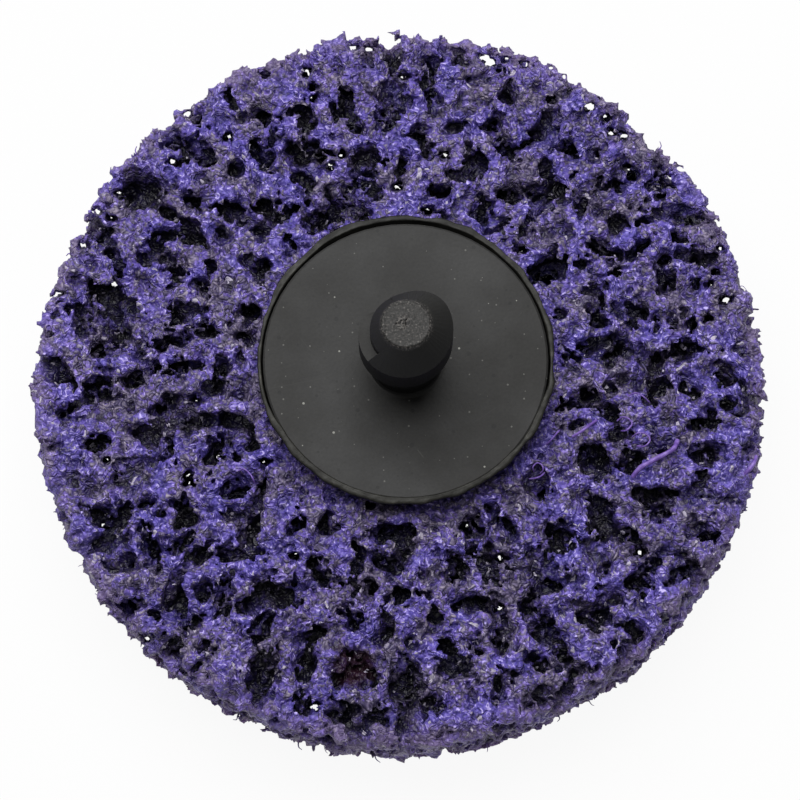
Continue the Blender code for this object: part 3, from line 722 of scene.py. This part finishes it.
def web_material():
    """Purple resin set with pale, mauve and grey grain, with painted shade where the web closes in and
    painted highlights and glow.
    """
    n = Nodes("web_resin_and_grain")
    place = n.place()
    bent = n.vector("MULTIPLY_ADD", n.noise(place, 1300.0, 0.0, "Color"), (GRAIN_BEND,) * 3, place)
    cells = n.add("ShaderNodeTexVoronoi", {"Vector": bent, "Scale": 2700.0})
    dome = cells.outputs["Distance"]
    tone = n.add("ShaderNodeSeparateColor", {"Color": cells.outputs["Color"]})
    patches = n.noise(place, 300.0, 3.0)
    fine = n.noise(place, 2100.0, 1.0)
    resin = n.ramp(fine, [(0.32, (0.048, 0.037, 0.165)), (0.47, (0.100, 0.073, 0.330)),
                          (0.58, (0.142, 0.103, 0.420)), (0.70, (0.25, 0.195, 0.58))])
    tint = n.ramp(patches, [(0.35, (0.78, 0.80, 0.95)), (0.65, (1.20, 1.08, 1.02))])
    resin = n.mix(1.0, resin, tint, blend="MULTIPLY")

    # Grain sits in patches, on the proud crests first
    grain = n.ramp(tone.outputs[0], [(0.0, (0.070, 0.060, 0.115)), (0.45, (0.13, 0.11, 0.175)),
                                     (0.80, (0.20, 0.17, 0.235)), (1.0, (0.32, 0.28, 0.33))])
    proud = n.add("ShaderNodeAttribute", attribute_name="proud").outputs["Fac"]
    worn = n.math("MULTIPLY_ADD", proud, 0.08, n.math("MULTIPLY", tone.outputs[1], 0.45))
    worn = n.math("MULTIPLY_ADD", patches, 1.7, worn)
    share = n.range(worn, 1.06, 1.22)
    colour = n.mix(n.math("MULTIPLY", share, 0.85), resin, grain)
    # Painted shade in the gaps between the grains
    gap = n.ramp(dome, [(0.40, (1, 1, 1)), (0.66, (0.34, 0.32, 0.42))])
    colour = n.mix(share, colour, n.mix(1.0, colour, gap, blend="MULTIPLY"))

    # Fine wrinkles of set resin in the bump, with painted highlights in pale lilac along them
    rings = n.noise(bent, 560.0, 1.0)
    waves = n.math("PINGPONG", n.math("MULTIPLY", rings, 8.0), 0.5)
    edge = n.range(waves, 0.12, 0.04)
    where = n.math("MULTIPLY", n.range(fine, 0.47, 0.57), n.math("SUBTRACT", 1.0, share))
    colour = n.mix(n.math("MULTIPLY", edge, where), colour, (0.50, 0.43, 0.84))

    # Painted light: paler and pinker towards the rim and at the foot of the wall, standing in for light
    # thrown up from the white floor
    flat = n.vector("MULTIPLY", place, (1.0, 1.0, 0.0))
    across = n.vector("LENGTH", flat, output="Value")
    rim = n.math("MULTIPLY", n.range(across, 0.0352, 0.0384), patches)
    colour = n.mix(rim, colour, (0.20, 0.14, 0.33))
    level = n.part_of(place)
    foot = n.math("MULTIPLY", n.range(level, 0.0045, 0.0005), n.range(across, 0.034, 0.036))
    colour = n.mix(n.math("MULTIPLY", foot, 0.6), colour, (0.30, 0.13, 0.42))

    # Painted shade: darker where the web closes in round pits and folds, and painted light on the open
    # crests
    crowded = n.add("ShaderNodeAttribute", attribute_name="crowded").outputs["Fac"]
    shade = n.ramp(crowded, [(0.42, (1.18, 1.18, 1.16)), (0.49, (0.82, 0.81, 0.83)),
                             (0.54, (0.47, 0.45, 0.52)), (0.62, (0.25, 0.23, 0.29)),
                             (0.76, (0.20, 0.19, 0.22))])
    colour = n.mix(1.0, colour, shade, blend="MULTIPLY")
    # Painted shade: the colour falls to near black with depth under the web's faces, in its pores
    deep = n.add("ShaderNodeAttribute", attribute_name="deep").outputs["Fac"]
    shade = n.ramp(n.range(deep, 0.0, 4.0), [(0.14, (1, 1, 1)), (0.32, (0.45, 0.43, 0.50)),
                                             (0.52, (0.22, 0.21, 0.25)), (0.8, (0.13, 0.13, 0.14))])
    colour = n.mix(1.0, colour, shade, blend="MULTIPLY")

    # Brown stain
    middle = Vector((*photo_point(*STAIN, WEB_TOP)[:2], 0.0)) * MM
    away = n.vector("DISTANCE", flat, middle, output="Value")
    away = n.math("MULTIPLY_ADD", n.math("SUBTRACT", patches, 0.5), -0.004, away)
    stain = n.range(away, STAIN_REACH * MM, STAIN_REACH * MM * 0.6)
    colour = n.mix(n.math("MULTIPLY", stain, 0.85), colour, (0.024, 0.006, 0.014))

    # Painted glints: rare pale specks stand in for highlights off single grains
    glint = n.range(tone.outputs[2], 0.986, 0.990)
    colour = n.mix(glint, colour, (0.45, 0.41, 0.52))
    n.link(colour, n.shader.inputs["Base Color"])
    n.shader.inputs["Roughness"].default_value = 0.42
    n.shader.inputs["Specular IOR Level"].default_value = 0.4
    height = n.math("MULTIPLY_ADD", waves, -0.8, n.math("MULTIPLY", dome, -0.8))
    n.bump(height, 0.00024)
    return n.material


def fibre_material():
    """Bare purple fibre with a few paler patches."""
    n = Nodes("bare_fibre")
    place = n.place()
    colour = n.ramp(n.noise(place, 1500.0, 3.0), [(0.35, (0.13, 0.065, 0.33)), (0.55, (0.21, 0.12, 0.48)),
                                                  (0.75, (0.33, 0.22, 0.60))])
    n.link(colour, n.shader.inputs["Base Color"])
    n.shader.inputs["Roughness"].default_value = 0.45
    n.bump(n.noise(place, 5000.0, 2.0), 0.00004)
    return n.material


def button_material():
    """Satin black plastic with light and dark dust, a few scratches, a rough moulded tip and painted shade
    on its steep faces.
    """
    n = Nodes("moulded_black_plastic")
    place = n.place()
    cloud = n.noise(place, 110.0, 4.0)
    colour = n.ramp(cloud, [(0.35, (0.0120, 0.0115, 0.0105)), (0.65, (0.0165, 0.0165, 0.0162))])
    grit = n.ramp(n.noise(place, 3200.0, 2.0), [(0.35, (0.86, 0.86, 0.86)), (0.65, (1.14, 1.14, 1.14))])
    colour = n.mix(1.0, colour, grit, blend="MULTIPLY")
    level = n.part_of(place)
    on_plate = n.math("LESS_THAN", level, (PLATE_TOP + 0.1) * MM)
    for scale, size, chosen, shade in PLATE_DUST:
        values = {"Vector": place, "Scale": scale}
        dots = n.add("ShaderNodeTexVoronoi", values, voronoi_dimensions="2D")
        tone = n.add("ShaderNodeSeparateColor", {"Color": dots.outputs["Color"]})
        reach = n.math("MULTIPLY", tone.outputs[1], size * scale * MM)
        near = n.math("LESS_THAN", dots.outputs["Distance"], reach)
        mask = n.math("MULTIPLY", near, n.math("GREATER_THAN", tone.outputs[0], chosen))
        colour = n.mix(n.math("MULTIPLY", mask, n.math("MULTIPLY", on_plate, 0.85)), colour, shade)
    for start, end, width, shade in SCRATCHES:
        mask = n.line(place, photo_point(*start, PLATE_TOP), photo_point(*end, PLATE_TOP), width)
        colour = n.mix(n.math("MULTIPLY", mask, 0.75), colour, shade)

    # Painted shade: steep faces, the stud's sides among them, are near black, and the dust and lighter
    # plastic show only on what faces up
    colour = n.mix(n.facing_up(0.70, 0.97), (0.0045, 0.0045, 0.0045), colour)

    # The tip is rough, with pale worn edges and a torn gate mark
    tip = n.range(level, (BUTTON_HIGH[2] - 0.45) * MM, (BUTTON_HIGH[2] - 0.1) * MM)
    specks = n.noise(place, 5200.0, 3.0)
    rough = n.ramp(specks, [(0.34, (0.008, 0.008, 0.007)), (0.48, (0.019, 0.018, 0.017)),
                            (0.60, (0.032, 0.030, 0.028)), (0.72, (0.13, 0.12, 0.11))])
    middle = Vector((BUTTON_CENTRE[0], BUTTON_CENTRE[1], BUTTON_HIGH[2])) * MM
    out = n.vector("DISTANCE", place, middle, output="Value")
    worn = n.math("MULTIPLY", n.range(out, TIP_RADIUS * MM * 0.88, TIP_RADIUS * MM * 0.97),
                  n.range(specks, 0.54, 0.62))
    worn = n.math("MULTIPLY", worn, n.range(n.noise(place, 900.0, 1.0), 0.42, 0.58))
    rough = n.mix(n.math("MULTIPLY", worn, 0.7), rough, (0.15, 0.14, 0.13))
    torn = n.vector("DISTANCE", place, middle + Vector((*TIP_MARK, 0.0)) * MM, output="Value")
    torn = n.range(torn, TIP_MARK_RADIUS * MM, TIP_MARK_RADIUS * MM * 0.75)
    mark = n.noise(place, 3600.0, 2.0)
    mark = n.ramp(mark, [(0.44, (0.004, 0.004, 0.004)), (0.51, (0.04, 0.036, 0.033)),
                         (0.56, (0.13, 0.12, 0.11)), (0.64, (0.02, 0.02, 0.02))])
    rough = n.mix(n.math("MULTIPLY", torn, 0.9), rough, mark)
    colour = n.mix(tip, colour, rough)
    n.link(colour, n.shader.inputs["Base Color"])
    n.link(n.range(cloud, 0.3, 0.7, 0.60, 0.46), n.shader.inputs["Roughness"])
    n.shader.inputs["Specular IOR Level"].default_value = 0.3
    n.bump(n.noise(place, 2600.0, 3.0), 0.00002)
    return n.material


def adhesive_material():
    """Set black adhesive, a little olive and dull, with painted shade behind the stud and on its steep
    faces.
    """
    n = Nodes("set_black_adhesive")
    place = n.place()
    lumps = n.noise(place, 900.0, 4.0)
    colour = n.ramp(lumps, [(0.35, (0.0085, 0.008, 0.006)), (0.60, (0.0185, 0.018, 0.014)),
                            (0.78, (0.050, 0.048, 0.040))])
    # Painted shade: darker behind the stud
    starts, ends = ((BUTTON_CENTRE[1] + share * LIP_RADIUS) * MM for share in (0.72, 0.95))
    back = n.range(n.part_of(place, "Y"), starts, ends)
    colour = n.mix(n.math("MULTIPLY", back, 0.7), colour, (0.006, 0.006, 0.005))
    # Painted shade: steep faces, the lip's outer wall among them, are near black
    colour = n.mix(n.facing_up(0.35, 0.85), (0.003, 0.003, 0.003), colour)
    n.link(colour, n.shader.inputs["Base Color"])
    n.link(n.range(lumps, 0.3, 0.7, 0.60, 0.42), n.shader.inputs["Roughness"])
    n.shader.inputs["Specular IOR Level"].default_value = 0.3
    n.bump(n.noise(place, 1100.0, 4.0), 0.00010)
    return n.material


def mesh_piece(name, points, faces, material):
    """A piece of the scene from points in mm; it rides on the part."""
    mesh = bpy.data.meshes.new(name)
    mesh.from_pydata([tuple(float(value) * MM for value in point) for point in points], [], faces)
    mesh.materials.append(material)
    mesh.shade_smooth()
    piece = bpy.data.objects.new(name, mesh)
    bpy.context.scene.collection.objects.link(piece)
    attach(piece, "root")
    return piece


def build_adhesive():
    """The adhesive film and the uneven lip that it has set into round the plate."""
    profiles = []
    for step in range(LIP_STEPS):
        turn = math.tau * step / LIP_STEPS
        out = Vector((math.cos(turn), math.sin(turn), 0.0))
        slow = noise.noise(out * 2.2 + Vector((0, 0, 3.1)))
        mid = noise.noise(out * 6.5 + Vector((0, 0, 7.7)))
        quick = noise.noise(out * 22.0 + Vector((0, 0, 11.3)))
        behind = float(smooth_step(0.70, 0.92, out.y))
        doubled = float(smooth_step(0.25, 0.55, out.y) * (1 - smooth_step(0.90, 0.99, out.y)))
        front = float(smooth_step(0.15, 0.60, -out.y + 0.5 * slow))
        inner = PLATE_RADIUS + SEAM_GAP + 0.10 * abs(mid)
        inner += (0.24 + 0.06 * quick) * behind - 0.34 * front
        outer = LIP_RADIUS - 0.50 + 0.26 * slow + 0.30 * mid + 0.06 * quick
        outer += 0.12 * doubled + 0.30 * behind - 0.12 * front
        width = outer - inner
        foot = max(inner + 0.05, outer - 0.60 - 0.15 * slow)
        top = PLATE_TOP + 0.03 + 0.08 * slow + 0.10 * mid - 0.25 * behind
        groove = 0.03 + 0.30 * doubled * (0.7 + 0.6 * mid) + 0.05 * quick
        profiles.append([
            (inner, BOND_LOW[2]), (foot, WEB_TOP - 0.35), (foot, WEB_TOP + 0.4),
            (outer - 0.05, top - 0.45), (outer - 0.03, top - 0.15),
            (outer - 0.22 * width, top - 0.02 + 0.05 * quick),
            (outer - 0.48 * width, top - groove), (inner + 0.26 * width, top + 0.03 * quick),
            (inner + 0.03, top - 0.10 * (1 - front)), (inner, BOND_LOW[2] + FILM_THICKNESS)])
    rows = len(profiles[0])
    points = []
    for step, profile in enumerate(profiles):
        turn = math.tau * step / LIP_STEPS
        for radius, height in profile:
            points.append((BUTTON_CENTRE[0] + radius * math.cos(turn),
                           BUTTON_CENTRE[1] + radius * math.sin(turn), height))
    faces = []
    for step in range(LIP_STEPS):
        here = step * rows
        there = (step + 1) % LIP_STEPS * rows
        for row in range(rows - 1):
            faces.append((here + row, there + row, there + row + 1, here + row + 1))
    under = len(points)
    points += [(*BUTTON_CENTRE[:2], BOND_LOW[2]), (*BUTTON_CENTRE[:2], BOND_LOW[2] + FILM_THICKNESS)]
    for step in range(LIP_STEPS):
        here = step * rows
        there = (step + 1) % LIP_STEPS * rows
        faces.append((under, there, here))
        faces.append((under + 1, here + rows - 1, there + rows - 1))
    piece = mesh_piece("adhesive_seam", points, faces, adhesive_material())
    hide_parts("adhesive_bond")


def build_tip(material):
    """The rough moulded face of the stud's tip, with the gate's mark on it."""
    rings, steps = TIP_RINGS, TIP_STEPS
    points = [(*BUTTON_CENTRE[:2], BUTTON_HIGH[2] + TIP_PROUD)]
    for ring in range(1, rings + 1):
        for step in range(steps):
            turn = math.tau * step / steps
            share = ring / rings
            ragged = noise.noise(Vector((math.cos(turn) * 9, math.sin(turn) * 9, 1.3)))
            radius = TIP_RADIUS * share * (1 + 0.035 * ragged * share)
            x, y = radius * math.cos(turn), radius * math.sin(turn)
            mark = max(0.0, 1 - math.hypot(x - TIP_MARK[0], y - TIP_MARK[1]) / TIP_MARK_RADIUS)
            height = TIP_PROUD + 0.035 * noise.noise(Vector((x * 3.5, y * 3.5, 5.0)))
            height += min(1.0, 2.5 * mark) * 0.16 * noise.noise(Vector((x * 3.0, y * 3.0, 9.0)))
            height += 0.05 * float(smooth_step(0.80, 0.93, share)) * (0.5 + ragged)
            height -= 0.16 * float(smooth_step(0.95, 1.0, share))
            points.append((BUTTON_CENTRE[0] + x, BUTTON_CENTRE[1] + y, BUTTON_HIGH[2] + height))
    faces = [(0, 1 + step, 1 + (step + 1) % steps) for step in range(steps)]
    for ring in range(rings - 1):
        for step in range(steps):
            a = 1 + ring * steps + step
            b = 1 + ring * steps + (step + 1) % steps
            faces.append((a, a + steps, b + steps, b))
    mesh_piece("stud_tip_face", points, faces, material)


def tube(points, faces, route, radii, sides):
    """Add a closed tube along a route to a list of points and faces."""
    first = len(points)
    up = Vector((0.0, 0.0, 1.0))
    for index, (spot, radius) in enumerate(zip(route, radii)):
        ahead = (route[min(index + 1, len(route) - 1)] - route[max(index - 1, 0)]).normalized()
        side = ahead.cross(up).normalized()
        over = side.cross(ahead)
        for corner in range(sides):
            turn = math.tau * corner / sides
            points.append(spot + side * (radius * math.cos(turn)) + over * (radius * math.sin(turn)))
    for index in range(len(route) - 1):
        for corner in range(sides):
            a = first + index * sides + corner
            b = first + index * sides + (corner + 1) % sides
            faces.append((a, b, b + sides, a + sides))
    faces.append(tuple(first + corner for corner in reversed(range(sides))))
    last = first + (len(route) - 1) * sides
    faces.append(tuple(last + corner for corner in range(sides)))


def smooth_route(knots, per_span):
    """Points on a curve through the knots."""
    ends = [knots[0] * 2 - knots[1], *knots, knots[-1] * 2 - knots[-2]]
    route = []
    for span in range(len(knots) - 1):
        a, b, c, d = ends[span:span + 4]
        for step in range(per_span):
            t = step / per_span
            route.append(0.5 * ((2 * b) + (c - a) * t + (2 * a - 5 * b + 4 * c - d) * t * t
                                + (3 * b - a - 3 * c + d) * t ** 3))
    route.append(knots[-1])
    return route


def build_fibres():
    """Bare fibres that lie on the back, and short ends that stand out of the rim."""
    draw = random.Random(77)
    points = []
    faces = []
    for width, *spots in FIBRES:
        knots = []
        for number, spot in enumerate(spots):
            ends = number in (0, len(spots) - 1)
            rise = -0.4 if ends else FIBRE_HEIGHT + draw.uniform(-0.05, 0.15)
            over_rim = np.hypot(*photo_point(*spot, WEB_TOP)[:2]) > RIM_STARTS
            knots.append(Vector(photo_point(*spot, WEB_TOP + rise - RIM_FALL * over_rim)))
        route = smooth_route(knots, 9)
        radii = []
        for spot in route:
            lumpy = noise.noise(spot * 1.7)
            radii.append(width * PIXEL / 2 * (0.95 + 0.22 * lumpy))
        radii[0] *= 0.55
        radii[-1] *= 0.55
        tube(points, faces, route, radii, FIBRE_SIDES)
    for _ in range(RIM_HAIRS):
        turn = draw.uniform(0, math.tau)
        outward = Vector((math.cos(turn), math.sin(turn) * WEB_OVAL, 0.0))
        along = Vector((-math.sin(turn), math.cos(turn), 0.0))
        start = outward * (WEB_RADIUS - 0.9) + Vector((0, 0, draw.uniform(0.8, WEB_TOP - 1.2)))
        lean = along * draw.uniform(-0.9, 0.9) + Vector((0, 0, draw.uniform(-0.5, 0.7)))
        length = draw.uniform(*HAIR_LENGTHS)
        bend = along * draw.uniform(-0.4, 0.4)
        knots = [start, start + (outward + lean * 0.4) * length * 0.5 / 1.1 + bend * 0.4,
                 start + (outward * 0.8 + lean) * length / 1.2]
        route = smooth_route(knots, 4)
        thick = draw.uniform(*HAIR_RADII)
        radii = [thick * (1 - 0.7 * i / len(route)) for i in range(len(route))]
        tube(points, faces, route, radii, HAIR_SIDES)
    for point in points:
        point.z = max(point.z, FIBRE_LOWEST)
    mesh_piece("loose_fibres", points, faces, fibre_material())


def dress_button():
    """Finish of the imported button, and the rough tip face on its stud."""
    material = button_material()
    for slot in frame["nodes"]["drive_button"].material_slots:
        slot.material = material
    build_tip(material)


def camera_ray(n):
    """1 for rays that see the picture's background directly, in a mirror or through glass."""
    path = n.add("ShaderNodeLightPath")
    either = n.math("MAXIMUM", path.outputs["Is Camera Ray"], path.outputs["Is Glossy Ray"])
    return n.math("MAXIMUM", either, path.outputs["Is Transmission Ray"])


def build_stage():
    """White floor, white surroundings, soft light from above and behind."""
    mesh = bpy.data.meshes.new("floor")
    corners = [(-1, -1), (1, -1), (1, 1), (-1, 1)]
    mesh.from_pydata([(x * FLOOR_REACH, y * FLOOR_REACH, 0) for x, y in corners], [], [(0, 1, 2, 3)])
    floor = bpy.data.objects.new("floor", mesh)
    bpy.context.scene.collection.objects.link(floor)
    n = Nodes("floor_white")
    n.shader.inputs["Base Color"].default_value = (0.8, 0.8, 0.8, 1.0)
    n.shader.inputs["Roughness"].default_value = 1.0
    n.shader.inputs["Specular IOR Level"].default_value = 0.0
    glow = n.add("ShaderNodeEmission", {"Color": (1, 1, 1, 1), "Strength": 1.0})
    share = n.math("MULTIPLY", camera_ray(n), FLOOR_GLOW)
    mixed = n.add("ShaderNodeMixShader", {0: share, 1: n.shader.outputs[0], 2: glow.outputs[0]})
    n.link(mixed.outputs[0], n.tree.nodes["Material Output"].inputs["Surface"])
    mesh.materials.append(n.material)

    world = bpy.data.worlds.new("studio")
    bpy.context.scene.world = world
    world.use_nodes = True
    tree = world.node_tree
    background = tree.nodes["Background"]
    path = tree.nodes.new("ShaderNodeLightPath")
    either = tree.nodes.new("ShaderNodeMath")
    either.operation = "MAXIMUM"
    tree.links.new(path.outputs["Is Camera Ray"], either.inputs[0])
    tree.links.new(path.outputs["Is Transmission Ray"], either.inputs[1])
    strength = tree.nodes.new("ShaderNodeMapRange")
    strength.inputs["To Min"].default_value = WORLD_LIGHT
    strength.inputs["To Max"].default_value = 1.0
    tree.links.new(either.outputs[0], strength.inputs["Value"])
    tree.links.new(strength.outputs["Result"], background.inputs["Strength"])
    background.inputs["Color"].default_value = (1, 1, 1, 1)

    lamp = bpy.data.lights.new("softbox", "AREA")
    lamp.shape = "DISK"
    lamp.size = LAMP_SIZE
    lamp.energy = LAMP_POWER
    softbox = bpy.data.objects.new("softbox", lamp)
    softbox.location = LAMP_PLACE
    softbox.rotation_euler = (Vector((0, 0, 0)) - softbox.location).to_track_quat("-Z", "Y").to_euler()
    bpy.context.scene.collection.objects.link(softbox)


def build_camera():
    """The photograph's camera."""
    data = bpy.data.cameras.new("photo_camera")
    data.lens = CAMERA_LENS
    data.sensor_width = SENSOR_WIDTH
    data.clip_start = 0.01
    camera = bpy.data.objects.new("photo_camera", data)
    origin, forward, _, _ = camera_axes()
    camera.location = origin * MM
    camera.rotation_euler = Vector(forward).to_track_quat("-Z", "Y").to_euler()
    bpy.context.scene.collection.objects.link(camera)
    bpy.context.scene.camera = camera


build_web()
build_fibres()
build_adhesive()
dress_button()
build_stage()
build_camera()
bpy.context.scene.view_settings.view_transform = "Standard"
